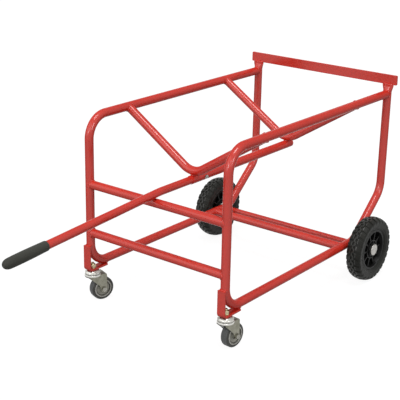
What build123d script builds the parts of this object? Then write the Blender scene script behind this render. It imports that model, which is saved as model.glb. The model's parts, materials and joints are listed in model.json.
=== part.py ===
from build123d import *
import os
from math import cos, radians, sin, sqrt, tan

os.makedirs("parts", exist_ok=True)

# A mobile drum stillage: a welded tube cradle for one drum lying on its side, on two rear wheels
# and two swivel casters, with a removable lever handle. Millimetres. X runs across the frame,
# +Y points to the rear wheels and +Z up. The origin is on the floor under the middle of the box.

# Frame tube
tube_r = 12.7
tube_wall = 2.0
bore_r = tube_r - tube_wall
bend_r = 65.0
branch_r = tube_r - 0.1
branch_end = 1.0

# Side frames, one bent tube on each side
side_x = 242.0
leg_y = -142.2
top_z = 556.0
low_z = 115.5
rear_corner_y = leg_y + 665.0
upright_y = leg_y + 814.5
slant_top_z = 245.0
rail_stub = 40.0
press_start_z = 562.0
press_end_z = 580.0
upright_top_z = 584.5
pressed_half_w = 18.5
pressed_half_t = 7.0

# Stop bar on the tops of the uprights
bar_len = 540.0
bar_t = 6.0
bar_h = 30.0
bar_corner_r = 3.0

# Cross tubes
front_upper_z = 361.0
front_lower_z = 215.5
rear_cross_y = leg_y + 594.0

# Cradles
cradle_ys = {"front_cradle": leg_y + 164.0, "rear_cradle": leg_y + 630.0}
cradle_low_z = 400.9
cradle_bend_r = 62.0
weld_seat = 0.5

# Handle socket and handle
socket_front_y = leg_y + 152.0
socket_rear_y = leg_y + 653.0
socket_bore_r = 11.2
handle_r = 11.1
handle_bore_r = 9.1
handle_inner_y = leg_y + 500.0
handle_bend_y = leg_y + 20.0
handle_bend_r = 300.0
handle_drop = 3.8
handle_out_len = 563.8
grip_len = 138.0
grip_cap = 7.0

# Handle lock on the socket
lock_y = leg_y + 206.0
lock_nut_flats = 10.0
lock_nut_face_x = 18.2
lock_screw_r = 3.0
lock_screw_tip_x = 11.6
lock_screw_end_x = 20.6
lock_key_flats = 3.0
lock_key_depth = 3.0

# Rear axle and wheels
wheel_r = 100.0
wheel_x = 291.5
axle_r = 10.0
axle_half_len = 311.0
running_gap = 0.05
hub_half_w = 16.0
hub_r = 21.0
collar_r = 29.5
collar_in_r = 26.5
collar_half_w = 13.0
bush_r = 14.5
bush_len = 13.0
bead_r = 59.0
rim_inner_r = 54.0
rim_half_w = 18.5
rim_lip_r = 63.0
rim_rib_count = 10
tyre_half_w = 24.5
tyre_shoulder = (22.5, 94.0)
tread_count = 28
washer_r = 17.5
inner_washer_t = 3.5
outer_washer_t = 1.5
cap_r = 18.0
cap_edge_r = 3.0
cap_end_x = 313.8
side_play = 0.5

# Casters
stem_y = leg_y + 6.0
caster_swivel = {"left": -19.0, "right": -5.0}
trail = 28.0
caster_wheel_r = 35.0
caster_tyre_half_w = 12.0
caster_tread_t = 8.2
fork_in = 15.5
fork_t = 2.5
head_r = 23.5
head_in_r = 20.0
head_floor_z = 78.0
head_floor_top_z = 81.0
head_top_z = 85.5
crown_z = 84.0
stem_hole_r = 7.6
race_r = 22.5
race_rim_z = 91.5
race_top_r = 13.5
race_boss_r = 17.5
race_boss_z = 85.7
race_sleeve_r = 7.0
race_flange_r = 11.0
race_flange_z = 74.5
ball_r = 2.25
ball_ring_r = 13.0
ball_count = 14
stem_bolt_r = 5.0
stem_nut_flats = 17.0
stem_head_r = 7.5
stem_head_h = 3.0
stem_nut_h = 10.0
stem_washer_r = 10.0
stem_washer_t = 2.0
stem_end_z = 120.0
caster_axle_r = 4.0
caster_axle_flats = 13.0
caster_axle_head_h = 5.3
caster_axle_nut_h = 6.5
sleeve_r = 6.0

# Caster brackets, a flat bar bent to an L under each front bend
bracket_w = 25.0
bracket_t = 5.0
bracket_top_z = 103.1
bracket_in_y = leg_y - 12.4
bracket_rear_y = leg_y + 58.0
bracket_up_z = 177.0
bracket_bend_r = 8.0

# Heights and positions that follow from the sizes above
arm_slope = (top_z - cradle_low_z) / side_x
cradle_axis_z = cradle_low_z + cradle_bend_r * (sqrt(1 + arm_slope**2) - 1)
socket_z = cradle_axis_z - branch_r - tube_r + weld_seat
bracket_low_z = bracket_top_z - bracket_t
bar_z = upright_top_z + bar_h / 2
bar_front_y = upright_y + pressed_half_t - bar_t
slant_angle = Vector(0, upright_y - rear_corner_y, slant_top_z - low_z).get_angle(Vector(0, 1, 0))
rear_bend_y = rear_corner_y - bend_r * tan(radians(slant_angle) / 2)
rear_bend_z = low_z + bend_r
axle_reach = bend_r + tube_r + axle_r - weld_seat
axle_y = rear_bend_y + sqrt(axle_reach**2 - (rear_bend_z - wheel_r) ** 2)
sides = {"left": -1, "right": 1}


def save(piece, name):
    """Label a finished piece and write its STEP file."""
    piece.part.label = name
    export_step(piece.part, f"parts/{name}.step")


def swept_rod(points, bend, radius):
    """A solid round rod along straight runs joined by tangent arcs."""
    with BuildPart() as rod:
        with BuildLine() as path:
            FilletPolyline(*points, radius=bend)
        with BuildSketch(Plane(origin=path.line @ 0, x_dir=(1, 0, 0), z_dir=path.line % 0)):
            Circle(radius)
        sweep()
    return rod.part


def straight_rod(start, end, radius, end_radius=None):
    """A solid round rod between two points, tapered if an end radius is given."""
    along = Vector(*end) - Vector(*start)
    direction = along.normalized()
    with BuildPart() as rod:
        with BuildSketch(Plane(origin=start, z_dir=direction)):
            Circle(radius)
        with BuildSketch(Plane(origin=end, z_dir=direction)):
            Circle(end_radius or radius)
        loft()
    return rod.part


def pressed_end(x, half_w, half_t, radius):
    """The top of an upright, pressed from round to a flat oval."""
    with BuildPart() as end:
        with BuildSketch(Plane(origin=(x, upright_y, press_start_z))):
            Circle(radius)
        with BuildSketch(Plane(origin=(x, upright_y, press_end_z))):
            Ellipse(half_w, half_t)
        loft()
        with BuildSketch(Plane(origin=(x, upright_y, press_end_z))):
            Ellipse(half_w, half_t)
        extrude(amount=upright_top_z - press_end_z)
    return end.part


def side_run(x, radius):
    """The bent rod of one side: top rail, front leg, lower rail, rising rear run and upright."""
    points = [
        (x, upright_y - rail_stub, top_z),
        (x, leg_y, top_z),
        (x, leg_y, low_z),
        (x, rear_corner_y, low_z),
        (x, upright_y, slant_top_z),
        (x, upright_y, press_start_z),
    ]
    return swept_rod(points, bend_r, radius)


# Stop bar, a flat bar on edge that stands on the pressed tops of the uprights
with BuildPart() as drum_stop_bar:
    with BuildSketch(Plane.XZ.offset(-bar_front_y)):
        with Locations((0, bar_z)):
            RectangleRounded(bar_len, bar_h, bar_corner_r)
    extrude(amount=-bar_t)
    chamfer(drum_stop_bar.faces().filter_by(Axis.Y).edges(), 0.5)
save(drum_stop_bar, "drum_stop_bar")


# Rear axle, a plain rod under the rear bends of both side frames
axle_rod = straight_rod((-axle_half_len, axle_y, wheel_r), (axle_half_len, axle_y, wheel_r), axle_r)

with BuildPart() as rear_axle:
    add(axle_rod)
    chamfer(rear_axle.edges().filter_by(GeomType.CIRCLE), 1.0)
save(rear_axle, "rear_axle")


# Side frames. Each is one tube whose top rail ends on the front of its own upright.
frame_outline = {}
for side, sign in sides.items():
    x = sign * side_x
    rail_start = (x, upright_y - rail_stub, top_z)
    solid_run = side_run(x, tube_r)
    solid_stub = straight_rod(rail_start, (x, upright_y - branch_end, top_z), tube_r, branch_r)
    solid_top = pressed_end(x, pressed_half_w, pressed_half_t, tube_r)
    hollow_run = side_run(x, bore_r)
    hollow_stub = straight_rod(rail_start, (x, upright_y - tube_r, top_z), bore_r)
    hollow_top = pressed_end(x, pressed_half_w - tube_wall, pressed_half_t - tube_wall, bore_r)

    with BuildPart() as outline:
        add(solid_run)
        add(solid_stub)
        add(solid_top)
    frame_outline[side] = outline.part

    with BuildPart() as side_frame:
        add(outline.part)
        add(hollow_run, mode=Mode.SUBTRACT)
        add(hollow_stub, mode=Mode.SUBTRACT)
        add(hollow_top, mode=Mode.SUBTRACT)
        add(axle_rod, mode=Mode.SUBTRACT)
    save(side_frame, f"side_frame_{side}")


# Straight cross tubes, cut to fit the side frames
cross_tubes = {
    "front_cross_tube_upper": (leg_y, front_upper_z),
    "front_cross_tube_lower": (leg_y, front_lower_z),
    "rear_cross_tube": (rear_cross_y, low_z),
}
for name, (y, z) in cross_tubes.items():
    half_len = side_x - branch_end
    with BuildPart() as cross_tube:
        with BuildSketch(Plane.YZ.offset(-half_len)):
            with Locations((y, z)):
                Circle(branch_r)
                Circle(bore_r, mode=Mode.SUBTRACT)
        extrude(amount=2 * half_len)
        for outline in frame_outline.values():
            add(outline, mode=Mode.SUBTRACT)
    save(cross_tube, name)


# Handle socket, a level tube under both cradles, drilled for the lock screw
socket_front = (0, socket_front_y, socket_z)
socket_rear = (0, socket_rear_y, socket_z)
socket_outer = straight_rod(socket_front, socket_rear, tube_r)
socket_inner = straight_rod(socket_front, socket_rear, socket_bore_r)
lock_drill = straight_rod((0, lock_y, socket_z), (2 * tube_r, lock_y, socket_z), lock_screw_r + running_gap)
lock_plane = Plane(origin=(0, lock_y, socket_z), x_dir=(0, 1, 0), z_dir=(1, 0, 0))

with BuildPart() as handle_socket:
    add(socket_outer)
    add(socket_inner, mode=Mode.SUBTRACT)
    add(lock_drill, mode=Mode.SUBTRACT)
save(handle_socket, "handle_socket")

with BuildPart() as handle_lock_nut:
    with BuildSketch(lock_plane):
        RegularPolygon(lock_nut_flats / 2, 6, major_radius=False)
    extrude(amount=lock_nut_face_x)
    chamfer(handle_lock_nut.faces().sort_by(Axis.X)[-1].edges(), 0.6)
    add(socket_outer, mode=Mode.SUBTRACT)
    add(lock_drill, mode=Mode.SUBTRACT)
save(handle_lock_nut, "handle_lock_nut")

with BuildPart() as handle_lock_screw:
    with BuildSketch(lock_plane.offset(lock_screw_tip_x)):
        Circle(lock_screw_r)
    extrude(amount=lock_screw_end_x - lock_screw_tip_x)
    chamfer(handle_lock_screw.edges().filter_by(GeomType.CIRCLE), 0.6)
    with BuildSketch(lock_plane.offset(lock_screw_end_x)):
        RegularPolygon(lock_key_flats / 2, 6, major_radius=False)
    extrude(amount=-lock_key_depth, mode=Mode.SUBTRACT)
save(handle_lock_screw, "handle_lock_screw")


# Cradles, V-shaped tubes from rail to rail, notched where the socket is welded under them
for name, y in cradle_ys.items():
    tip_x = side_x - branch_end
    tip_z = cradle_low_z + arm_slope * tip_x
    with BuildPart() as cradle:
        with BuildLine() as path:
            FilletPolyline((-tip_x, y, tip_z), (0, y, cradle_low_z), (tip_x, y, tip_z), radius=cradle_bend_r)
        with BuildSketch(Plane(origin=path.line @ 0, x_dir=(0, 1, 0), z_dir=path.line % 0)):
            Circle(branch_r)
            Circle(bore_r, mode=Mode.SUBTRACT)
        sweep()
        for outline in frame_outline.values():
            add(outline, mode=Mode.SUBTRACT)
        add(socket_outer, mode=Mode.SUBTRACT)
    save(cradle, name)


# Lever handle: a tube with a slight bend over the front cross tube, and a moulded grip
drop = radians(handle_drop)
handle_dir = Vector(0, -cos(drop), -sin(drop))
handle_corner = Vector(0, handle_bend_y, socket_z)
handle_end = handle_corner + handle_dir * (handle_out_len - grip_cap)
grip_start = handle_corner + handle_dir * (handle_out_len - grip_len)

with BuildPart() as handle_tube:
    with BuildLine() as path:
        FilletPolyline((0, handle_inner_y, socket_z), handle_corner, handle_end, radius=handle_bend_r)
    with BuildSketch(Plane(origin=path.line @ 0, x_dir=(1, 0, 0), z_dir=path.line % 0)):
        Circle(handle_r)
        Circle(handle_bore_r, mode=Mode.SUBTRACT)
    sweep()
save(handle_tube, "handle_tube")

grip_plane = Plane(origin=grip_start, x_dir=handle_dir, z_dir=(1, 0, 0))
grip_floor = grip_len - grip_cap
with BuildPart() as handle_grip:
    with BuildSketch(grip_plane):
        with BuildLine():
            Polyline((0, handle_r), (0, 12.6), (1.2, 13.2))
            Bezier((1.2, 13.2), (45, 14.2), (90, 14.8), (118, 13.8))
            Bezier((118, 13.8), (130, 13.4), (grip_len, 9.0), (grip_len, 2.0))
            Polyline((grip_len, 2.0), (grip_len, 0), (grip_floor, 0), (grip_floor, handle_r), (0, handle_r))
        make_face()
    revolve(axis=Axis(grip_start, handle_dir))
save(handle_grip, "handle_grip")


# Washers and end caps on the rear axle
hub_in_x = wheel_x - hub_half_w
hub_out_x = wheel_x + hub_half_w
washers = {
    "axle_inner_washers": (hub_in_x - side_play - inner_washer_t, inner_washer_t),
    "axle_outer_washers": (hub_out_x + side_play, outer_washer_t),
}
for name, (washer_x, thickness) in washers.items():
    with BuildPart() as pair:
        for sign in sides.values():
            with BuildSketch(Plane(origin=(sign * washer_x, axle_y, wheel_r), z_dir=(sign, 0, 0))):
                Circle(washer_r)
                Circle(axle_r, mode=Mode.SUBTRACT)
            extrude(amount=thickness)
        rims = pair.edges().filter_by(GeomType.CIRCLE).filter_by(lambda edge: edge.radius > axle_r + 1)
        chamfer(rims, 0.4)
    save(pair, name)

cap_in_x = hub_out_x + side_play + outer_washer_t
with BuildPart() as axle_caps:
    for sign in sides.values():
        with BuildSketch(Plane(origin=(sign * cap_in_x, axle_y, wheel_r), z_dir=(sign, 0, 0))):
            Circle(cap_r)
        extrude(amount=cap_end_x - cap_in_x)
    rims = axle_caps.edges().filter_by(lambda edge: abs(edge.center().X) > cap_end_x - 0.1)
    fillet(rims, cap_edge_r)
    add(axle_rod, mode=Mode.SUBTRACT)
save(axle_caps, "axle_caps")


# Rear wheels, each a tyre, a moulded rim and two bushes that turn on the axle
def rear_tyre(x):
    """Block-tread tyre: bulged sidewalls, a crowned tread and staggered cuts."""
    bead_x = 15.5
    wall_x = 19.5
    wall_r = rim_lip_r + 1.5
    bulge_r = 80.0
    shoulder_x, shoulder_r = tyre_shoulder
    with BuildPart(Plane(origin=(x, axle_y, wheel_r), x_dir=(0, 1, 0), z_dir=(1, 0, 0))) as tyre:
        with BuildSketch(Plane.XZ.offset(-axle_y).shift_origin((x, axle_y, wheel_r))):
            with BuildLine():
                Polyline((-bead_x, bead_r), (bead_x, bead_r), (bead_x, rim_lip_r), (wall_x, wall_r))
                ThreePointArc((wall_x, wall_r), (tyre_half_w, bulge_r), (shoulder_x, shoulder_r))
                ThreePointArc((shoulder_x, shoulder_r), (0, wheel_r), (-shoulder_x, shoulder_r))
                ThreePointArc((-shoulder_x, shoulder_r), (-tyre_half_w, bulge_r), (-wall_x, wall_r))
                Polyline((-wall_x, wall_r), (-bead_x, rim_lip_r), (-bead_x, bead_r))
            make_face()
        revolve(axis=Axis((x, axle_y, wheel_r), (1, 0, 0)))
        half_pitch = 180.0 / tread_count
        for offset, turn in ((19.0, 0.0), (-19.0, half_pitch)):
            with Locations((0, 0, offset)):
                with PolarLocations(95.5, tread_count, start_angle=turn):
                    Box(12.0, 7.0, 14.0, mode=Mode.SUBTRACT)
        for offset, turn in ((4.0, half_pitch), (-4.0, 0.0)):
            with Locations((0, 0, offset)):
                with PolarLocations(wheel_r, tread_count, start_angle=turn):
                    Box(7.0, 5.5, 9.0, mode=Mode.SUBTRACT)
    return tyre


def rear_rim(x):
    """Moulded rim: hub, web, collar and bead ring in one, stiffened by radial ribs."""
    web_x = 3.0
    lip_x = 15.5
    with BuildPart(Plane(origin=(x, axle_y, wheel_r), x_dir=(0, 1, 0), z_dir=(1, 0, 0))) as rim:
        with BuildSketch(Plane.XZ.offset(-axle_y).shift_origin((x, axle_y, wheel_r))):
            with BuildLine():
                Polyline(
                    (0, bush_r),
                    (hub_half_w, bush_r),
                    (hub_half_w, hub_r - 1.0),
                    (hub_half_w - 1.0, hub_r),
                    (web_x, hub_r + 3.0),
                    (web_x, rim_inner_r - 2.0),
                    (rim_half_w, rim_inner_r + 3.0),
                    (rim_half_w, rim_lip_r),
                    (lip_x, rim_lip_r),
                    (lip_x, bead_r),
                    (0, bead_r),
                    (0, bush_r),
                )
            make_face()
            mirror(about=Plane.YZ)
        revolve(axis=Axis((x, axle_y, wheel_r), (1, 0, 0)))
        with PolarLocations((hub_r + rim_inner_r) / 2, rim_rib_count):
            Box(rim_inner_r - hub_r + 1.0, 3.5, 24.0)
        with BuildSketch(Plane(origin=(x - collar_half_w, axle_y, wheel_r), z_dir=(1, 0, 0))):
            Circle(collar_r)
            Circle(collar_in_r, mode=Mode.SUBTRACT)
        extrude(amount=2 * collar_half_w)
    return rim


def rear_bushes(x):
    """The two plain bushes pressed into a rear wheel's hub."""
    with BuildPart() as bushes:
        for sign in (-1, 1):
            with BuildSketch(Plane(origin=(x + sign * hub_half_w, axle_y, wheel_r), z_dir=(-sign, 0, 0))):
                Circle(bush_r)
                Circle(axle_r + running_gap, mode=Mode.SUBTRACT)
            extrude(amount=bush_len)
    return bushes


for side, sign in sides.items():
    save(rear_tyre(sign * wheel_x), f"rear_tyre_{side}")
    save(rear_rim(sign * wheel_x), f"rear_rim_{side}")
    save(rear_bushes(sign * wheel_x), f"rear_bushes_{side}")


# Caster brackets
def caster_bracket(side, sign):
    """A flat bar bent to an L, welded to the front of the leg and under the lower rail."""
    out_y = bracket_in_y - bracket_t
    with BuildPart() as bracket:
        with BuildSketch(Plane.YZ.offset(sign * side_x - bracket_w / 2)) as profile:
            with BuildLine():
                Polyline(
                    (out_y, bracket_up_z),
                    (out_y, bracket_low_z),
                    (bracket_rear_y, bracket_low_z),
                    (bracket_rear_y, bracket_top_z),
                    (bracket_in_y, bracket_top_z),
                    (bracket_in_y, bracket_up_z),
                    close=True,
                )
            make_face()
            inner_corner = profile.vertices().sort_by_distance((bracket_in_y, bracket_top_z, 0))[0]
            fillet(inner_corner, bracket_bend_r)
            outer_corner = profile.vertices().sort_by_distance((out_y, bracket_low_z, 0))[0]
            fillet(outer_corner, bracket_bend_r + bracket_t)
        extrude(amount=bracket_w)
        chamfer(bracket.faces().filter_by(Axis.X).edges(), 0.5)
        with BuildSketch(Plane(origin=(sign * side_x, stem_y, bracket_low_z))):
            Circle(stem_bolt_r)
        extrude(amount=bracket_t, mode=Mode.SUBTRACT)
        add(frame_outline[side], mode=Mode.SUBTRACT)
    return bracket


# Casters, each drawn about its own stem with the wheel trailing along local +Y
class CasterPlanes:
    """Working planes of one caster, turned about its stem to the angle at which it stands."""

    def __init__(self, sign, angle):
        turn = radians(angle)
        stem = Vector(sign * side_x, stem_y, 0)
        self.across = Vector(cos(turn), sin(turn), 0)
        self.back = Vector(-sin(turn), cos(turn), 0)
        self.floor = Plane(origin=stem, x_dir=self.across, z_dir=(0, 0, 1))
        self.upright = Plane(origin=stem, x_dir=self.back, z_dir=self.across)
        self.stem_axis = Axis(stem, (0, 0, 1))
        self.hub = stem + self.back * trail + Vector(0, 0, caster_wheel_r)
        self.section = Plane(origin=self.hub, x_dir=self.across, z_dir=-self.back)
        self.spin_axis = Axis(self.hub, self.across)

    def axle_plane(self, offset):
        """Plane square to the wheel's axle, at a distance along it from the wheel's middle."""
        return Plane(origin=self.hub + self.across * offset, x_dir=self.back, z_dir=self.across)


def caster_race(planes):
    """Fixed top race: the domed disc under the bracket, its ball track and the riveted sleeve."""
    disc_z = head_top_z + 0.8
    dome_r = race_r - 2.9
    dome_z = bracket_low_z - 2.6
    flange_top_z = head_floor_z - 1.0
    with BuildPart() as race:
        with BuildSketch(planes.upright):
            with BuildLine():
                Polyline(
                    (stem_bolt_r, race_flange_z),
                    (race_flange_r, race_flange_z),
                    (race_flange_r, flange_top_z),
                    (race_sleeve_r, flange_top_z),
                    (race_sleeve_r, race_boss_z),
                    (race_boss_r, race_boss_z),
                    (race_boss_r, disc_z),
                    (race_r - 1.0, disc_z),
                    (race_r, disc_z + 1.0),
                    (race_r, race_rim_z),
                )
                ThreePointArc((race_r, race_rim_z), (dome_r, dome_z), (race_top_r, bracket_low_z))
                Polyline(
                    (race_top_r, bracket_low_z),
                    (stem_bolt_r, bracket_low_z),
                    (stem_bolt_r, race_flange_z),
                )
            make_face()
        revolve(axis=planes.stem_axis)
    return race


def caster_stem_bolt(planes):
    """Bolt that holds a caster to its bracket, its low round head down inside the fork."""
    with BuildPart() as bolt:
        with BuildSketch(planes.floor.offset(race_flange_z)):
            Circle(stem_head_r)
        extrude(amount=-stem_head_h)
        chamfer(bolt.faces().sort_by(Axis.Z)[0].edges(), 0.8)
        with BuildSketch(planes.floor.offset(race_flange_z)):
            Circle(stem_bolt_r)
        extrude(amount=stem_end_z - race_flange_z)
        chamfer(bolt.faces().sort_by(Axis.Z)[-1].edges(), 0.8)
    return bolt


def caster_stem_nut(planes):
    """Nut on top of the bracket, with its washer face."""
    washer_top_z = bracket_top_z + stem_washer_t
    with BuildPart() as nut:
        with BuildSketch(planes.floor.offset(washer_top_z)):
            RegularPolygon(stem_nut_flats / 2, 6, major_radius=False)
        extrude(amount=stem_nut_h)
        chamfer(nut.faces().sort_by(Axis.Z)[-1].edges(), 0.8)
        with BuildSketch(planes.floor.offset(bracket_top_z)):
            Circle(stem_washer_r)
        extrude(amount=stem_washer_t)
        with BuildSketch(planes.floor.offset(bracket_top_z)):
            Circle(stem_bolt_r)
        extrude(amount=stem_washer_t + stem_nut_h, mode=Mode.SUBTRACT)
    return nut


def caster_fork(planes):
    """Pressed fork: a round head cup, a crown behind it, a sloping front web and two legs."""
    eye_r = 9.5
    front_y, front_z = -15.5, 74.3
    web_end_y, web_end_z = -1.0, 61.8
    web_dy, web_dz = 1.6, 1.9
    neck_y = 14.0
    crown_rear_y = 35.0
    fork_out = fork_in + fork_t
    with BuildPart() as fork:
        with BuildSketch(planes.floor.offset(head_floor_z)):
            Circle(head_r)
        extrude(amount=head_top_z - head_floor_z)
        fillet(fork.edges().filter_by(GeomType.CIRCLE).sort_by(Axis.Z)[-1], 1.2)
        with BuildSketch(planes.floor.offset(crown_z)):
            with Locations((0, (neck_y + crown_rear_y) / 2)):
                Rectangle(2 * fork_out, crown_rear_y - neck_y)
        extrude(amount=-fork_t)
        for offset in (fork_in, -fork_out):
            with BuildSketch(planes.upright.offset(offset)):
                with BuildLine():
                    Polyline(
                        (front_y, head_floor_top_z),
                        (neck_y, head_floor_top_z),
                        (neck_y, crown_z),
                        (crown_rear_y, crown_z),
                        (trail + eye_r, 80.0),
                        (trail + eye_r, caster_wheel_r),
                    )
                    ThreePointArc(
                        (trail + eye_r, caster_wheel_r),
                        (trail, caster_wheel_r - eye_r),
                        (trail - eye_r, caster_wheel_r),
                    )
                    Polyline(
                        (trail - eye_r, caster_wheel_r),
                        (13.0, 48.0),
                        (web_end_y, web_end_z),
                        (front_y, front_z),
                        (front_y, head_floor_top_z),
                    )
                make_face()
            extrude(amount=fork_t)
        with BuildSketch(planes.upright.offset(-fork_in)):
            with BuildLine():
                Polyline(
                    (front_y, head_floor_z + 0.5),
                    (front_y, front_z),
                    (web_end_y, web_end_z),
                    (web_end_y + web_dy, web_end_z + web_dz),
                    (front_y + web_dy, front_z + web_dz),
                    (front_y + web_dy, head_floor_z + 0.5),
                    close=True,
                )
            make_face()
        extrude(amount=2 * fork_in)
        with BuildSketch(planes.floor.offset(head_floor_top_z)):
            Circle(head_in_r)
        extrude(amount=head_top_z - head_floor_top_z, mode=Mode.SUBTRACT)
        with BuildSketch(planes.floor.offset(head_floor_z)):
            Circle(stem_hole_r)
        extrude(amount=head_floor_top_z - head_floor_z, mode=Mode.SUBTRACT)
        with BuildSketch(planes.axle_plane(-fork_out)):
            Circle(caster_axle_r)
        extrude(amount=2 * fork_out, mode=Mode.SUBTRACT)
    return fork


def caster_balls(planes):
    """Ball ring between the fork's head and the top race."""
    with BuildPart(planes.floor.offset(head_floor_top_z + ball_r)) as balls:
        with PolarLocations(ball_ring_r, ball_count):
            Sphere(ball_r)
    return balls


def caster_axle_bolt(planes):
    """Axle bolt across the fork, with its head on the inner side."""
    fork_out = fork_in + fork_t
    with BuildPart() as bolt:
        with BuildSketch(planes.axle_plane(fork_out)):
            RegularPolygon(caster_axle_flats / 2, 6, major_radius=False)
        extrude(amount=caster_axle_head_h)
        chamfer(bolt.faces().sort_by(planes.spin_axis)[-1].edges(), 0.6)
        with BuildSketch(planes.axle_plane(fork_out)):
            Circle(caster_axle_r)
        extrude(amount=-2 * fork_out - caster_axle_nut_h - 1.5)
        chamfer(bolt.faces().sort_by(planes.spin_axis)[0].edges(), 0.6)
    return bolt


def caster_axle_nut(planes):
    """Nut on the axle bolt's free end."""
    fork_out = fork_in + fork_t
    with BuildPart() as nut:
        with BuildSketch(planes.axle_plane(-fork_out)):
            RegularPolygon(caster_axle_flats / 2, 6, major_radius=False)
        extrude(amount=-caster_axle_nut_h)
        chamfer(nut.faces().sort_by(planes.spin_axis)[0].edges(), 0.6)
        with BuildSketch(planes.axle_plane(-fork_out)):
            Circle(caster_axle_r)
        extrude(amount=-caster_axle_nut_h, mode=Mode.SUBTRACT)
    return nut


def caster_sleeve(planes):
    """Spacer tube clamped between the fork legs, on which the wheel turns."""
    with BuildPart() as sleeve:
        with BuildSketch(planes.axle_plane(-fork_in)):
            Circle(sleeve_r)
            Circle(caster_axle_r, mode=Mode.SUBTRACT)
        extrude(amount=2 * fork_in)
    return sleeve


def caster_hub(planes):
    """Wheel centre: bearing boss, dished disc, groove and the raised band that carries the tyre."""
    band_r = caster_wheel_r - caster_tread_t
    inner_r = sleeve_r + running_gap
    with BuildPart() as hub:
        with BuildSketch(planes.section):
            with BuildLine():
                Polyline(
                    (0, inner_r),
                    (13.5, inner_r),
                    (13.5, 9.5),
                    (9.0, 10.5),
                    (9.5, band_r - 6.2),
                    (7.0, band_r - 5.7),
                    (7.0, band_r - 4.2),
                    (12.6, band_r - 3.5),
                    (12.6, band_r - 0.5),
                    (12.1, band_r),
                    (0, band_r),
                    (0, inner_r),
                )
            make_face()
            mirror(about=Plane.YZ)
        revolve(axis=planes.spin_axis)
    return hub


def caster_tyre(planes):
    """Plain rubber tyre with rounded shoulders."""
    band_r = caster_wheel_r - caster_tread_t
    half_w = caster_tyre_half_w
    shoulder_r = caster_wheel_r - 4.0
    with BuildPart() as tyre:
        with BuildSketch(planes.section):
            with BuildLine():
                Polyline((0, band_r), (half_w - 1.0, band_r), (half_w, band_r + 1.0), (half_w, shoulder_r))
                ThreePointArc(
                    (half_w, shoulder_r),
                    (half_w - 1.6, caster_wheel_r - 1.2),
                    (half_w - 5.0, caster_wheel_r - 0.2),
                )
                Polyline((half_w - 5.0, caster_wheel_r - 0.2), (0, caster_wheel_r), (0, band_r))
            make_face()
            mirror(about=Plane.YZ)
        revolve(axis=planes.spin_axis)
    return tyre


for side, sign in sides.items():
    planes = CasterPlanes(sign, caster_swivel[side])
    save(caster_bracket(side, sign), f"caster_bracket_{side}")
    save(caster_race(planes), f"caster_race_{side}")
    save(caster_stem_bolt(planes), f"caster_stem_bolt_{side}")
    save(caster_stem_nut(planes), f"caster_stem_nut_{side}")
    save(caster_fork(planes), f"caster_fork_{side}")
    save(caster_balls(planes), f"caster_balls_{side}")
    save(caster_axle_bolt(planes), f"caster_axle_bolt_{side}")
    save(caster_axle_nut(planes), f"caster_axle_nut_{side}")
    save(caster_sleeve(planes), f"caster_sleeve_{side}")
    save(caster_hub(planes), f"caster_hub_{side}")
    save(caster_tyre(planes), f"caster_tyre_{side}")
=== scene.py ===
import json
import math

import bmesh
import bpy
from mathutils import Matrix, Vector, noise


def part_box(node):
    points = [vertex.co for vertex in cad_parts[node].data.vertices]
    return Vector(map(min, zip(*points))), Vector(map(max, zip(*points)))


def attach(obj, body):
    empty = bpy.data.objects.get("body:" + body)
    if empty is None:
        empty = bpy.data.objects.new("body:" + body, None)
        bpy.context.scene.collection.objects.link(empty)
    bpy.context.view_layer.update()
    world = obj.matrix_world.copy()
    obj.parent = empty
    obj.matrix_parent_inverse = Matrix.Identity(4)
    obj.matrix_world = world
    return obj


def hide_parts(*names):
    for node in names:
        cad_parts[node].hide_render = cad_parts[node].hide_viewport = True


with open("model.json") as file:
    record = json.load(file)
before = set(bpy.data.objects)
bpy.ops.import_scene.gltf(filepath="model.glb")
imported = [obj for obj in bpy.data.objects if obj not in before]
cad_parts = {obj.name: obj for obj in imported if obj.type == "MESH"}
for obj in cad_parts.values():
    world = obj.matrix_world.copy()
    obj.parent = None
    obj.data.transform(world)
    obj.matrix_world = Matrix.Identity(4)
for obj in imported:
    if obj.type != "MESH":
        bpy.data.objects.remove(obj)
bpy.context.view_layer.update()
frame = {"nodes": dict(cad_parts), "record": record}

nodes = frame["nodes"]

# Sides of the object and the sign of x there, axes and units
SIDES = {"left": -1.0, "right": 1.0}
X_AXIS = Vector((1.0, 0.0, 0.0))
Y_AXIS = Vector((0.0, 1.0, 0.0))
Z_AXIS = Vector((0.0, 0.0, 1.0))
MM_PER_M = 1000.0

# Sizes and places of tubes and wheels, in metres
TUBE_R = 0.0127
SIDE_X = 0.242
LEG_Y = -0.1422
UPRIGHT_Y = LEG_Y + 0.8145
TOP_Z = 0.556
LOW_Z = 0.1155
FRONT_UPPER_Z = 0.361
FRONT_LOWER_Z = 0.2155
REAR_CROSS_Y = LEG_Y + 0.594
CRADLE_YS = {"front": LEG_Y + 0.164, "rear": LEG_Y + 0.630}
CRADLE_LOW_Z = 0.4009
SOCKET_Z = 0.38774
AXLE_Y = 0.532082
AXLE_Z = 0.100
AXLE_R = 0.010
REAR_BEND_Y = 0.498562
REAR_BEND_Z = 0.1805
BAR_FRONT_Y = UPRIGHT_Y + 0.001
PRESSED_TOP_Z = 0.5845
PRESSED_HALF_W = 0.0185
WHEEL_X = 0.2915

# Casters in metres
CASTER_STEM_Y = LEG_Y + 0.006
CASTER_TRAIL = 0.028
CASTER_AXLE_Z = 0.035
CASTER_SWIVEL = {"left": math.radians(-19.0), "right": math.radians(-5.0)}

# Where one colour of a caster turns into the next, painted shade and painted highlight among them, from the
# middle plane (X), floor (Z), stem or axle (R)
FORK_INSIDE_X = (0.0156, 0.0160)
FORK_HEAD_Z = (0.0802, 0.0807)
FORK_HEAD_R = (0.0236, 0.0241)
CASTER_WALL_X = (0.009, 0.011)
CASTER_GROOVE_R = (0.0206, 0.0211)
CASTER_RING_R = (0.0228, 0.0233)

# Points of a ball that lie closer than this are one point
POLE_GAP = 1e-6

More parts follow.
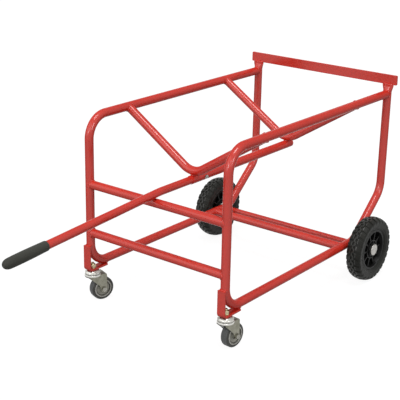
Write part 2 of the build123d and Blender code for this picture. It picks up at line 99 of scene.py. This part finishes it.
# Rear tyre in millimetres, from the wheel's middle
WHEEL_R = 100.0
SHOULDER_X = 22.5
SHOULDER_R = 94.0
LUG_COUNT = 28
LUG_DEPTH = 2.6
LUG_SLANT = 0.34
LUG_CREASE = math.radians(38.0)

# Polished lug tops, whose lighter colour is a painted highlight: where lugs stand up by more than this
# share, nearer the middle than this distance
POLISH_AND_SHEEN_HEIGHT = 0.5
POLISH_AND_SHEEN_X = 12.0

# Rows of lugs on each half of the tread
NO_LUG = 0
INNER_ROW = 1
OUTER_ROW = 2

# Half of the tread: distance from the middle, the lug's drop below the crown (None in a groove), lug row
TREAD = (
    (0.3, 0.4, INNER_ROW),
    (0.8, 0.0, INNER_ROW),
    (2.6, 0.0, INNER_ROW),
    (4.5, 0.0, INNER_ROW),
    (5.0, 0.5, INNER_ROW),
    (5.5, None, NO_LUG),
    (6.7, None, NO_LUG),
    (7.2, 0.5, OUTER_ROW),
    (7.7, 0.0, OUTER_ROW),
    (11.0, 0.0, OUTER_ROW),
    (14.0, 0.0, OUTER_ROW),
    (17.0, 0.0, OUTER_ROW),
    (20.0, 0.0, OUTER_ROW),
)

# Shoulder: distance from the middle and radius, between the lugs and on them
SHOULDER = (
    ((21.6, 92.2), (21.9, 94.2)),
    ((22.6, 91.4), (23.2, 93.2)),
    ((23.3, 89.8), (24.0, 91.2)),
    ((23.8, 87.7), (24.4, 88.6)),
    ((23.9, 85.6), (24.4, 86.2)),
    ((23.8, 83.9), (24.0, 84.2)),
)

# Sidewall with two moulded rings, down to the bead
SIDEWALL = (
    (23.55, 82.0),
    (23.6, 79.5),
    (23.4, 77.0),
    (23.1, 75.2),
    (23.6, 74.7),
    (23.6, 73.6),
    (22.8, 73.1),
    (22.3, 71.0),
    (21.7, 69.2),
    (22.1, 68.7),
    (22.0, 67.8),
    (21.1, 67.3),
    (20.4, 66.0),
    (19.5, 64.5),
    (17.5, 63.6),
    (15.5, 63.0),
    (15.5, 59.0),
)

# Places within half a lug's pitch, the stretch where the lug stands up, and the height of its rounded edges
HALF_PITCH = 0.5
HALF_PITCH_STEPS = (0.0, 0.08, 0.16, 0.19, 0.22, 0.28, 0.31, 0.34, 0.42)
LUG_STARTS = 0.17
LUG_ENDS = 0.83
LUG_EDGES = (0.19, 0.81)
LUG_EDGE_HEIGHT = 0.88

# Weld beads: radii in metres, then the ripple, the wander and the fading ends of their size
BRANCH_BEAD_R = 0.0021
SEAT_BEAD_R = 0.0024
BAR_BEAD_R = 0.0030
BEAD_SIDES = 10
BEAD_PITCH = 0.0035
BEAD_RIPPLE = 0.10
BEAD_WANDER = 0.12
WANDER_SCALE = 260.0
END_SIZE = 0.35
END_STEPS = 3.0

# Lines of the weld beads, in metres: round branches a little thinner than the tube, on seats and along ends
BRANCH_R = 0.0126
BRANCH_STEPS = 72
RING_STEPS = 40
LINE_STEPS = 24
WELD_LIFT = 0.0004
BRACKET_WELD_OUT = 0.0006
BRACKET_WELD_TURN = math.radians(62.0)
BAR_WELD_OUT = 0.0012
BAR_WELD_SHARE = 0.80
SOCKET_SEAT = (0.0052, 0.0062)
AXLE_SEAT = (0.0060, 0.0050)

# Paint: specular level where it faces the eye, share of it left at grazing angles, and where it fades
PAINT_GLOSS = 0.57
GRAZING_SHARE = 0.1
GLOSS_FADE = (0.15, 0.50)

# Noise in the surfaces: the stretch of it that is used, its detail, and how much finer wear is than drift
NOISE_SPAN = (0.3, 0.7)
PATCH_DETAIL = 3.0
GRAIN_DETAIL = 2.0
WEAR_FINENESS = 4.0
BUMP_STRENGTH = 0.5

# Light of the world, and the floor
WORLD_LIGHT = 0.34
FLOOR_ALBEDO = 0.16
FLOOR_GLOW = 0.91
FLOOR_ROUGHNESS = 0.9
FLOOR_REACH = 30.0
WHITE = (1.0, 1.0, 1.0, 1.0)

# Lamps: the direction in which each stands, its softness in degrees and its strength
LAMP_DISTANCE = 4.0
LAMPS = {
    "key": (Vector((0.50, -0.72, 0.48)), 30.0, 0.34),
    "front": (Vector((0.05, -0.94, 0.34)), 18.0, 0.54),
    "fill": (Vector((-0.45, -0.82, 0.35)), 60.0, 0.66),
    "right": (Vector((0.92, -0.20, 0.33)), 18.0, 0.54),
    "top": (Vector((0.15, -0.12, 0.98)), 25.0, 1.22),
}

# Camera that took the photograph, from the fit of the object's edges
CAM_AZIMUTH = math.radians(37.75)
CAM_ELEVATION = math.radians(19.39)
CAM_ROLL = math.radians(1.14)
CAM_DISTANCE = 3.14773
CAM_FOCAL_PX = 1065.41
CAM_AIM = Vector((0.0, LEG_Y + 0.340, 0.290))
CAM_AIM_RIGHT = -0.08742
CAM_AIM_UP = -0.01227
CAM_REACH = 100.0
IMAGE_PX = 400.0
SENSOR_MM = 36.0


# Nodes of a material

def new_material(name):
    mat = bpy.data.materials.new(name)
    mat.use_nodes = True
    return mat


def tree_and_shader(mat):
    return mat.node_tree, mat.node_tree.nodes["Principled BSDF"]


def object_coords(tree):
    """Coordinates that stay with the piece: where its points lie at rest."""
    return tree.nodes.new("ShaderNodeTexCoord").outputs["Object"]


def object_noise(tree, scale, detail):
    """Noise that stays with the piece."""
    tex = tree.nodes.new("ShaderNodeTexNoise")
    tex.inputs["Scale"].default_value = scale
    tex.inputs["Detail"].default_value = detail
    tree.links.new(object_coords(tree), tex.inputs["Vector"])
    return tex.outputs["Fac"]


def colour_between(tree, fac, low, high):
    """A colour that drifts from low to high with a noise."""
    ramp = tree.nodes.new("ShaderNodeValToRGB")
    for stop, position, colour in zip(ramp.color_ramp.elements, NOISE_SPAN, (low, high)):
        stop.position = position
        stop.color = (*colour, 1.0)
    tree.links.new(fac, ramp.inputs["Fac"])
    return ramp.outputs["Color"]


def value_between(tree, fac, low, high, start, end):
    """A number that goes from low to high while another goes from start to end."""
    remap = tree.nodes.new("ShaderNodeMapRange")
    remap.inputs["From Min"].default_value = start
    remap.inputs["From Max"].default_value = end
    remap.inputs["To Min"].default_value = low
    remap.inputs["To Max"].default_value = high
    tree.links.new(fac, remap.inputs["Value"])
    return remap.outputs["Result"]


def mix_colours(tree, fac, first, second):
    """The first colour, from a socket, turning into the second one, a plain colour."""
    mix = tree.nodes.new("ShaderNodeMix")
    mix.data_type = "RGBA"
    tree.links.new(fac, mix.inputs["Factor"])
    tree.links.new(first, mix.inputs["A"])
    mix.inputs["B"].default_value = (*second, 1.0)
    return mix.outputs["Result"]


def vector_math(tree, operation, first, second=None):
    """A vector node on a socket, with a plain second vector where it takes one."""
    node = tree.nodes.new("ShaderNodeVectorMath")
    node.operation = operation
    tree.links.new(first, node.inputs[0])
    if second is not None:
        node.inputs[1].default_value = second
    return node


def maths(tree, operation, *sockets):
    node = tree.nodes.new("ShaderNodeMath")
    node.operation = operation
    for place, socket in enumerate(sockets):
        tree.links.new(socket, node.inputs[place])
    return node.outputs["Value"]


def plain_surface(name, low, high, rough, grain, bump_mm, patch, metallic=0.0, specular=0.5):
    """A surface whose colour and roughness drift in patches, with a fine grain in its relief."""
    mat = new_material(name)
    tree, shader = tree_and_shader(mat)
    drift = object_noise(tree, patch, PATCH_DETAIL)
    tree.links.new(colour_between(tree, drift, low, high), shader.inputs["Base Color"])
    wear = object_noise(tree, patch * WEAR_FINENESS, PATCH_DETAIL)
    tree.links.new(value_between(tree, wear, *rough, *NOISE_SPAN), shader.inputs["Roughness"])
    bump = tree.nodes.new("ShaderNodeBump")
    bump.inputs["Strength"].default_value = BUMP_STRENGTH
    bump.inputs["Distance"].default_value = bump_mm / MM_PER_M
    tree.links.new(object_noise(tree, grain, GRAIN_DETAIL), bump.inputs["Height"])
    tree.links.new(bump.outputs["Normal"], shader.inputs["Normal"])
    shader.inputs["Metallic"].default_value = metallic
    shader.inputs["Specular IOR Level"].default_value = specular
    return mat


def base_colour(shader):
    """The socket that gives a surface its colour so far."""
    return shader.inputs["Base Color"].links[0].from_socket


# Materials

def red_paint():
    """Powder coat: clear highlights where it faces the eye, soft at grazing angles."""
    mat = plain_surface(
        "red_powder_coat",
        low=(0.58, 0.031, 0.018),
        high=(0.63, 0.039, 0.024),
        rough=(0.17, 0.22),
        grain=420.0,
        bump_mm=0.003,
        patch=10.0,
    )
    tree, shader = tree_and_shader(mat)
    facing = tree.nodes.new("ShaderNodeLayerWeight").outputs["Facing"]
    gloss = value_between(tree, facing, PAINT_GLOSS, PAINT_GLOSS * GRAZING_SHARE, *GLOSS_FADE)
    tree.links.new(gloss, shader.inputs["Specular IOR Level"])
    return mat


def zinc_plate(name, low, high):
    return plain_surface(
        name,
        low,
        high,
        rough=(0.22, 0.38),
        grain=900.0,
        bump_mm=0.02,
        patch=70.0,
        metallic=1.0,
    )


def tyre_rubber():
    return plain_surface(
        "tyre_rubber",
        low=(0.0100, 0.0104, 0.0084),
        high=(0.0155, 0.0160, 0.0132),
        rough=(0.38, 0.52),
        grain=650.0,
        bump_mm=0.12,
        patch=30.0,
        specular=0.14,
    )


def lug_rubber():
    """Tread blocks, polished by the ground; their lighter colour is a painted highlight."""
    return plain_surface(
        "lug_rubber",
        low=(0.0140, 0.0144, 0.0120),
        high=(0.0240, 0.0245, 0.0210),
        rough=(0.24, 0.40),
        grain=650.0,
        bump_mm=0.12,
        patch=90.0,
        specular=0.36,
    )


def rim_plastic():
    return plain_surface(
        "rim_plastic",
        low=(0.0045, 0.0045, 0.0043),
        high=(0.0080, 0.0080, 0.0076),
        rough=(0.30, 0.42),
        grain=800.0,
        bump_mm=0.05,
        patch=25.0,
        specular=0.13,
    )


def bush_nylon():
    return plain_surface(
        "bush_nylon",
        low=(0.30, 0.30, 0.29),
        high=(0.36, 0.36, 0.35),
        rough=(0.40, 0.55),
        grain=700.0,
        bump_mm=0.04,
        patch=40.0,
    )


def grip_plastic():
    return plain_surface(
        "grip_plastic",
        low=(0.050, 0.051, 0.044),
        high=(0.062, 0.063, 0.055),
        rough=(0.50, 0.62),
        grain=900.0,
        bump_mm=0.08,
        patch=20.0,
        specular=0.08,
    )


def caster_axle(side):
    """Middle of a caster's wheel, and the direction of its axle."""
    turn = CASTER_SWIVEL[side]
    middle = (
        SIDES[side] * SIDE_X - CASTER_TRAIL * math.sin(turn),
        CASTER_STEM_Y + CASTER_TRAIL * math.cos(turn),
        CASTER_AXLE_Z,
    )
    return middle, (math.cos(turn), math.sin(turn), 0.0)


def from_middle_plane(tree, side):
    """How far a surface point lies to either side of a caster wheel's middle plane."""
    middle, axle = caster_axle(side)
    offset = vector_math(tree, "SUBTRACT", object_coords(tree), middle).outputs["Vector"]
    along = vector_math(tree, "DOT_PRODUCT", offset, axle).outputs["Value"]
    return maths(tree, "ABSOLUTE", along)


def from_axle(tree, side):
    """How far a surface point lies from the line of a caster's axle."""
    middle, axle = caster_axle(side)
    offset = vector_math(tree, "SUBTRACT", object_coords(tree), middle).outputs["Vector"]
    across = vector_math(tree, "CROSS_PRODUCT", offset, axle).outputs["Vector"]
    return vector_math(tree, "LENGTH", across).outputs["Value"]


def from_stem(tree, side):
    """How far a surface point lies from the line of a caster's stem."""
    stem = (SIDES[side] * SIDE_X, CASTER_STEM_Y, 0.0)
    offset = vector_math(tree, "SUBTRACT", object_coords(tree), stem).outputs["Vector"]
    level = vector_math(tree, "MULTIPLY", offset, (1.0, 1.0, 0.0)).outputs["Vector"]
    return vector_math(tree, "LENGTH", level).outputs["Value"]


def height_above_floor(tree):
    split = tree.nodes.new("ShaderNodeSeparateXYZ")
    tree.links.new(object_coords(tree), split.inputs["Vector"])
    return split.outputs["Z"]


def fork_zinc(side):
    """Pressed caster fork: dull legs and crown, a round head made bright with a painted highlight, and
    painted shade between the legs.
    """
    mat = plain_surface(
        f"fork_zinc_{side}",
        low=(0.19, 0.186, 0.145),
        high=(0.28, 0.275, 0.225),
        rough=(0.26, 0.42),
        grain=900.0,
        bump_mm=0.02,
        patch=90.0,
        metallic=1.0,
    )
    # Painted shade colour for between the legs, and painted highlight colour for the head
    painted_shade_colour = (0.03, 0.031, 0.027)
    painted_highlight_colour = (0.60, 0.595, 0.56)
    tree, shader = tree_and_shader(mat)
    height = height_above_floor(tree)
    # Painted shade: darkest between the legs, under the crown
    between_legs = value_between(tree, from_middle_plane(tree, side), 1.0, 0.0, *FORK_INSIDE_X)
    under_crown = value_between(tree, height, 1.0, 0.0, *FORK_HEAD_Z)
    inside = maths(tree, "MULTIPLY", between_legs, under_crown)
    lower = mix_colours(tree, inside, base_colour(shader), painted_shade_colour)
    # Painted highlight: the round head, near the stem and above the crown
    near_stem = value_between(tree, from_stem(tree, side), 1.0, 0.0, *FORK_HEAD_R)
    raised = value_between(tree, height, 0.0, 1.0, *FORK_HEAD_Z)
    head = maths(tree, "MULTIPLY", near_stem, raised)
    tree.links.new(mix_colours(tree, head, lower, painted_highlight_colour), shader.inputs["Base Color"])
    return mat


def caster_rubber(side):
    """Grey tread between sidewalls darkened with painted shade."""
    mat = plain_surface(
        f"caster_rubber_{side}",
        low=(0.058, 0.061, 0.061),
        high=(0.080, 0.083, 0.083),
        rough=(0.55, 0.70),
        grain=900.0,
        bump_mm=0.06,
        patch=40.0,
    )
    # Painted shade: a darker colour on the sidewalls
    painted_sidewall_shade_colour = (0.030, 0.030, 0.026)
    tree, shader = tree_and_shader(mat)
    sidewall_shade_mask = value_between(tree, from_middle_plane(tree, side), 0.0, 1.0, *CASTER_WALL_X)
    walled = mix_colours(tree, sidewall_shade_mask, base_colour(shader), painted_sidewall_shade_colour)
    tree.links.new(walled, shader.inputs["Base Color"])
    return mat


def caster_plastic(side):
    """Wheel centre: a pale raised ring, a groove inside it darkened with painted shade, and an olive grey
    disc.
    """
    mat = plain_surface(
        f"caster_plastic_{side}",
        low=(0.22, 0.216, 0.175),
        high=(0.36, 0.355, 0.305),
        rough=(0.34, 0.46),
        grain=800.0,
        bump_mm=0.05,
        patch=60.0,
    )
    # Painted shade: a dark colour in the groove
    painted_groove_shade_colour = (0.075, 0.075, 0.065)
    ring_colour = (0.42, 0.415, 0.375)
    tree, shader = tree_and_shader(mat)
    radius = from_axle(tree, side)
    groove = value_between(tree, radius, 0.0, 1.0, *CASTER_GROOVE_R)
    grooved = mix_colours(tree, groove, base_colour(shader), painted_groove_shade_colour)
    ring = value_between(tree, radius, 0.0, 1.0, *CASTER_RING_R)
    tree.links.new(mix_colours(tree, ring, grooved, ring_colour), shader.inputs["Base Color"])
    return mat


SLOT_MATERIALS = {
    "red_paint": red_paint(),
    "zinc": zinc_plate("bright_zinc", (0.40, 0.395, 0.36), (0.60, 0.59, 0.55)),
    "tyre_black": tyre_rubber(),
    "rim_black": rim_plastic(),
    "bush_grey": bush_nylon(),
    "grip_black": grip_plastic(),
}
DULL_ZINC = zinc_plate("dull_zinc", (0.22, 0.215, 0.185), (0.36, 0.355, 0.32))
YELLOW_ZINC = zinc_plate("yellow_zinc", (0.36, 0.32, 0.20), (0.52, 0.47, 0.31))
WORN_ZINC = zinc_plate("worn_zinc", (0.30, 0.29, 0.275), (0.46, 0.445, 0.42))
LUG_RUBBER = lug_rubber()


def node_materials():
    """Materials of the nodes that don't take their slot's one."""
    own = {node: WORN_ZINC for node in ("axle_caps", "handle_lock_nut", "handle_lock_screw")}
    for side in SIDES:
        for fastener in ("bolt", "nut"):
            own[f"caster_stem_{fastener}_{side}"] = YELLOW_ZINC
            own[f"caster_axle_{fastener}_{side}"] = DULL_ZINC
        own[f"caster_fork_{side}"] = fork_zinc(side)
        own[f"caster_tyre_{side}"] = caster_rubber(side)
        own[f"caster_hub_{side}"] = caster_plastic(side)
    return own


def dress_nodes():
    """Give every node its material."""
    own = node_materials()
    for entry in frame["record"]["subparts"]:
        mesh = nodes[entry["node"]].data
        mesh.materials.clear()
        mesh.materials.append(own.get(entry["node"]) or SLOT_MATERIALS[entry["material_slot"]])


def clean_ball_rings():
    """Take the empty triangles off the poles of the casters' balls."""
    for side in SIDES:
        weld = nodes[f"caster_balls_{side}"].modifiers.new("poles", "WELD")
        weld.merge_threshold = POLE_GAP


dress_nodes()
clean_ball_rings()


# Pieces that are made here

def make_piece(work, name, materials, crease=math.pi):
    """Turn a worked mesh into a piece, smooth but for the edges that are sharper than the crease."""
    bmesh.ops.recalc_face_normals(work, faces=work.faces[:])
    for face in work.faces:
        face.smooth = True
    for edge in work.edges:
        edge.smooth = edge.calc_face_angle(0.0) < crease
    mesh = bpy.data.meshes.new(name)
    work.to_mesh(mesh)
    work.free()
    for mat in materials:
        mesh.materials.append(mat)
    piece = bpy.data.objects.new(name, mesh)
    bpy.context.scene.collection.objects.link(piece)
    return piece


# Rear tyres

def crown_radius(x):
    """Radius of the tread's crowned surface at a distance from its middle, in millimetres."""
    bow = (SHOULDER_X**2 + (WHEEL_R - SHOULDER_R) ** 2) / (2.0 * (WHEEL_R - SHOULDER_R))
    return WHEEL_R - bow + math.sqrt(bow**2 - x**2)


def tyre_section():
    """The tyre's section from bead to bead: side, point between the lugs, point on a lug, and lug row."""
    half = []
    for x, drop, row in TREAD:
        floor = (x, crown_radius(x) - LUG_DEPTH)
        top = floor if drop is None else (x, crown_radius(x) - drop)
        half.append((floor, top, row))
    half += [(floor, top, OUTER_ROW) for floor, top in SHOULDER]
    half += [(point, point, NO_LUG) for point in SIDEWALL]
    return [(1.0, *station) for station in reversed(half)] + [(-1.0, *station) for station in half]


def lug_steps():
    """Places within one lug's pitch, and how far the lug stands up at each."""
    steps = HALF_PITCH_STEPS + tuple(HALF_PITCH + step for step in HALF_PITCH_STEPS)
    raised = [1.0 if LUG_STARTS <= step <= LUG_ENDS else 0.0 for step in steps]
    for edge in LUG_EDGES:
        raised[steps.index(edge)] = LUG_EDGE_HEIGHT
    return steps, raised


def tyre_rings(work, section, middle):
    """Vertices in sections round the wheel, and how far the lug stands up at each of them."""
    steps, raised = lug_steps()
    half_pitch = len(steps) // 2
    rings = []
    heights = []
    for lug in range(LUG_COUNT):
        for k, step in enumerate(steps):
            ring = []
            stands = []
            for hand, floor, top, row in section:
                shift = half_pitch * (row == INNER_ROW) + half_pitch * (hand < 0.0)
                height = 0.0 if row == NO_LUG else raised[(k + shift) % len(steps)]
                x = floor[0] + (top[0] - floor[0]) * height
                r = floor[1] + (top[1] - floor[1]) * height
                slant = LUG_SLANT * min(floor[0], SHOULDER_X) / SHOULDER_X
                turn = 2.0 * math.pi * (lug + step + slant) / LUG_COUNT
                place = Vector((hand * x, r * math.cos(turn), r * math.sin(turn))) / MM_PER_M
                ring.append(work.verts.new(place + middle))
                stands.append(height)
            rings.append(ring)
            heights.append(stands)
    return rings, heights


def tyre(side, sign):
    """A tyre with slanting lugs, staggered from side to side, whose middle lug tops are polished and carry
    a painted highlight.
    """
    section = tyre_section()
    from_middle = [floor[0] for hand, floor, top, row in section]
    work = bmesh.new()
    rings, heights = tyre_rings(work, section, Vector((sign * WHEEL_X, AXLE_Y, AXLE_Z)))
    for i, ring in enumerate(rings):
        j = (i + 1) % len(rings)
        for k in range(len(ring)):
            n = (k + 1) % len(ring)
            face = work.faces.new((ring[k], ring[n], rings[j][n], rings[j][k]))
            lowest = min(heights[i][k], heights[i][n], heights[j][k], heights[j][n])
            outermost = max(from_middle[k], from_middle[n])
            # Middle lug tops take the polished rubber, whose lighter colour is a painted highlight
            face.material_index = 1 if lowest > POLISH_AND_SHEEN_HEIGHT and outermost < POLISH_AND_SHEEN_X else 0
    piece = make_piece(work, f"tyre_{side}", (SLOT_MATERIALS["tyre_black"], LUG_RUBBER), LUG_CREASE)
    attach(piece, f"rear_wheel_{side}")
    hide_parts(f"rear_tyre_{side}")


for wheel_side, wheel_sign in SIDES.items():
    tyre(wheel_side, wheel_sign)


# Weld beads

def bead_size(point, run, steps_from_end):
    """Size of a bead against its plain one: ripples from the torch, a slow wander and a fading end."""
    ripple = 1.0 + BEAD_RIPPLE * math.sin(2.0 * math.pi * run / BEAD_PITCH)
    ripple += BEAD_WANDER * noise.noise(point * WANDER_SCALE)
    return ripple * min(1.0, END_SIZE + (1.0 - END_SIZE) * steps_from_end / END_STEPS)


def bead_rings(work, points, radius, closed):
    """Rings of vertices round the points of a bead's line."""
    count = len(points)
    rings = []
    run = 0.0
    for i, point in enumerate(points):
        after = points[(i + 1) % count] if closed else points[min(i + 1, count - 1)]
        before = points[i - 1] if closed or i else points[0]
        along = (after - before).normalized()
        side = along.orthogonal().normalized()
        over = along.cross(side)
        if i:
            run += (point - points[i - 1]).length
        size = radius * bead_size(point, run, END_STEPS if closed else min(i, count - 1 - i))
        ring = []
        for k in range(BEAD_SIDES):
            turn = 2.0 * math.pi * k / BEAD_SIDES
            ring.append(work.verts.new(point + (side * math.cos(turn) + over * math.sin(turn)) * size))
        rings.append(ring)
    return rings


def weld_bead(name, points, radius, closed):
    """A weld bead along a line: a thin tube, closed on itself or with two ends."""
    work = bmesh.new()
    rings = bead_rings(work, points, radius, closed)
    for i in range(len(rings) if closed else len(rings) - 1):
        first = rings[i]
        second = rings[(i + 1) % len(rings)]
        shift = 0
        # A closed bead's last ring meets its first where their corners are nearest
        if i == len(rings) - 1:
            shift = min(range(BEAD_SIDES), key=lambda s: (first[0].co - second[s].co).length)
        for k in range(BEAD_SIDES):
            n = (k + 1) % BEAD_SIDES
            far = second[(n + shift) % BEAD_SIDES]
            near = second[(k + shift) % BEAD_SIDES]
            work.faces.new((first[k], first[n], far, near))
    if not closed:
        work.faces.new(list(reversed(rings[0])))
        work.faces.new(rings[-1])
    piece = make_piece(work, name, (SLOT_MATERIALS["red_paint"],))
    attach(piece, "frame")


def branch_line(centre, main_axis, branch):
    """The line in which a square-on branch tube meets a tube of the same size."""
    across = main_axis.cross(branch)
    points = []
    for i in range(BRANCH_STEPS):
        turn = 2.0 * math.pi * i / BRANCH_STEPS
        out = BRANCH_R * math.sin(turn)
        depth = math.sqrt(TUBE_R**2 - out**2)
        points.append(centre + main_axis * (BRANCH_R * math.cos(turn)) + across * out + branch * depth)
    return points


def weld_branches():
    """Welds round the tubes that end on the side frames."""
    arm = Vector((SIDE_X, 0.0, TOP_Z - CRADLE_LOW_Z)).normalized()
    for side, sign in SIDES.items():
        x = sign * SIDE_X
        inwards = X_AXIS * -sign
        joints = {
            "weld_front_upper": (Vector((x, LEG_Y, FRONT_UPPER_Z)), Z_AXIS, inwards),
            "weld_front_lower": (Vector((x, LEG_Y, FRONT_LOWER_Z)), Z_AXIS, inwards),
            "weld_rear_cross": (Vector((x, REAR_CROSS_Y, LOW_Z)), Y_AXIS, inwards),
            "weld_rail_end": (Vector((x, UPRIGHT_Y, TOP_Z)), Z_AXIS, -Y_AXIS),
        }
        down_arm = Vector((-sign * arm.x, 0.0, -arm.z))
        for label, y in CRADLE_YS.items():
            joints[f"weld_{label}_cradle"] = (Vector((x, y, TOP_Z)), Y_AXIS, down_arm)
        for name, (centre, main_axis, branch) in joints.items():
            weld_bead(f"{name}_{side}", branch_line(centre, main_axis, branch), BRANCH_BEAD_R, True)


def seat_line(centre, a_axis, b_axis, seat):
    """An oval round the place where one tube lies across another."""
    a, b = seat
    points = []
    for i in range(RING_STEPS):
        turn = 2.0 * math.pi * i / RING_STEPS
        points.append(centre + a_axis * (a * math.cos(turn)) + b_axis * (b * math.sin(turn)))
    return points


def weld_seats():
    """Welds where one tube lies across another: the socket under the cradles, the axle under the bends."""
    for label, y in CRADLE_YS.items():
        seat = Vector((0.0, y, SOCKET_Z + TUBE_R + WELD_LIFT))
        weld_bead(f"weld_socket_{label}", seat_line(seat, X_AXIS, Y_AXIS, SOCKET_SEAT), SEAT_BEAD_R, True)
    for side, sign in SIDES.items():
        axle = Vector((sign * SIDE_X, AXLE_Y, AXLE_Z))
        up = (Vector((sign * SIDE_X, REAR_BEND_Y, REAR_BEND_Z)) - axle).normalized()
        seat = axle + up * (AXLE_R + WELD_LIFT)
        back = up.cross(X_AXIS).normalized()
        weld_bead(f"weld_axle_{side}", seat_line(seat, X_AXIS, back, AXLE_SEAT), SEAT_BEAD_R, True)


def line_shares():
    """Shares from minus one to one along an open bead."""
    return [-1.0 + 2.0 * i / LINE_STEPS for i in range(LINE_STEPS + 1)]


def weld_stop_bar():
    """Welds along the stop bar's foot on the pressed tops of the uprights."""
    for side, sign in SIDES.items():
        points = []
        for share in line_shares():
            x = sign * SIDE_X + share * (PRESSED_HALF_W * BAR_WELD_SHARE)
            points.append(Vector((x, BAR_FRONT_Y - BAR_WELD_OUT, PRESSED_TOP_Z + WELD_LIFT)))
        weld_bead(f"weld_stop_bar_{side}", points, BAR_BEAD_R, False)


def weld_brackets():
    """Welds at the two ends of each caster bracket, on the leg and under the rail."""
    for side, sign in SIDES.items():
        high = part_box(f"caster_bracket_{side}")[1]
        on_leg = []
        under_rail = []
        for share in line_shares():
            turn = share * BRACKET_WELD_TURN
            x = sign * SIDE_X + TUBE_R * math.sin(turn)
            out = TUBE_R * math.cos(turn) + BRACKET_WELD_OUT
            on_leg.append(Vector((x, LEG_Y - out, high.z + WELD_LIFT)))
            under_rail.append(Vector((x, high.y + WELD_LIFT, LOW_Z - out)))
        weld_bead(f"weld_bracket_leg_{side}", on_leg, BRANCH_BEAD_R, False)
        weld_bead(f"weld_bracket_rail_{side}", under_rail, BRANCH_BEAD_R, False)


weld_branches()
weld_seats()
weld_stop_bar()
weld_brackets()


# Floor, light and camera

def seen_directly(tree):
    """One for rays from the camera, for reflections and for rays through glass, else zero."""
    path = tree.nodes.new("ShaderNodeLightPath").outputs
    seen = maths(tree, "MAXIMUM", path["Is Camera Ray"], path["Is Glossy Ray"])
    return maths(tree, "MAXIMUM", seen, path["Is Transmission Ray"])


def floor_material():
    """Pale floor that keeps the object's shadow, with a glow that only the eye and reflections see."""
    mat = new_material("studio_floor")
    tree, shader = tree_and_shader(mat)
    shader.inputs["Base Color"].default_value = (FLOOR_ALBEDO, FLOOR_ALBEDO, FLOOR_ALBEDO, 1.0)
    shader.inputs["Roughness"].default_value = FLOOR_ROUGHNESS
    shader.inputs["Specular IOR Level"].default_value = 0.0
    glow = tree.nodes.new("ShaderNodeEmission")
    strength = value_between(tree, seen_directly(tree), 0.0, FLOOR_GLOW, 0.0, 1.0)
    tree.links.new(strength, glow.inputs["Strength"])
    both = tree.nodes.new("ShaderNodeAddShader")
    tree.links.new(shader.outputs["BSDF"], both.inputs[0])
    tree.links.new(glow.outputs["Emission"], both.inputs[1])
    tree.links.new(both.outputs["Shader"], tree.nodes["Material Output"].inputs["Surface"])
    return mat


def make_floor():
    mesh = bpy.data.meshes.new("floor")
    corners = [(-1, -1), (1, -1), (1, 1), (-1, 1)]
    mesh.from_pydata([(x * FLOOR_REACH, y * FLOOR_REACH, 0.0) for x, y in corners], [], [(0, 1, 2, 3)])
    mesh.materials.append(floor_material())
    floor = bpy.data.objects.new("floor", mesh)
    bpy.context.scene.collection.objects.link(floor)


def make_world():
    """Even white light, and plain white where the world itself is seen."""
    world = bpy.data.worlds.new("studio")
    bpy.context.scene.world = world
    world.use_nodes = True
    tree = world.node_tree
    lit = tree.nodes["Background"]
    lit.inputs["Color"].default_value = WHITE
    lit.inputs["Strength"].default_value = WORLD_LIGHT
    seen = tree.nodes.new("ShaderNodeBackground")
    seen.inputs["Color"].default_value = WHITE
    seen.inputs["Strength"].default_value = 1.0
    mix = tree.nodes.new("ShaderNodeMixShader")
    tree.links.new(seen_directly(tree), mix.inputs["Fac"])
    tree.links.new(lit.outputs["Background"], mix.inputs[1])
    tree.links.new(seen.outputs["Background"], mix.inputs[2])
    tree.links.new(mix.outputs["Shader"], tree.nodes["World Output"].inputs["Surface"])


def make_lamps():
    for name, (towards, softness, strength) in LAMPS.items():
        data = bpy.data.lights.new(name, "SUN")
        data.angle = math.radians(softness)
        data.energy = strength
        lamp = bpy.data.objects.new(name, data)
        bpy.context.scene.collection.objects.link(lamp)
        lamp.location = towards * LAMP_DISTANCE
        lamp.rotation_euler = (-towards).to_track_quat("-Z", "Y").to_euler()


def make_camera():
    level = math.cos(CAM_ELEVATION)
    back = Vector((math.sin(CAM_AZIMUTH) * level, -math.cos(CAM_AZIMUTH) * level, math.sin(CAM_ELEVATION)))
    right = Vector((math.cos(CAM_AZIMUTH), math.sin(CAM_AZIMUTH), 0.0))
    up = back.cross(right)
    place = CAM_AIM + right * CAM_AIM_RIGHT + up * CAM_AIM_UP + back * CAM_DISTANCE
    rolled_right = right * math.cos(CAM_ROLL) + up * math.sin(CAM_ROLL)
    rolled_up = up * math.cos(CAM_ROLL) - right * math.sin(CAM_ROLL)
    data = bpy.data.cameras.new("photo_camera")
    data.sensor_fit = "HORIZONTAL"
    data.sensor_width = SENSOR_MM
    data.lens = SENSOR_MM * CAM_FOCAL_PX / IMAGE_PX
    data.clip_end = CAM_REACH
    camera = bpy.data.objects.new("photo_camera", data)
    bpy.context.scene.collection.objects.link(camera)
    turn = Matrix((rolled_right, rolled_up, back)).transposed()
    camera.matrix_world = Matrix.Translation(place) @ turn.to_4x4()
    bpy.context.scene.camera = camera


make_floor()
make_world()
make_lamps()
make_camera()
bpy.context.scene.view_settings.view_transform = "Standard"
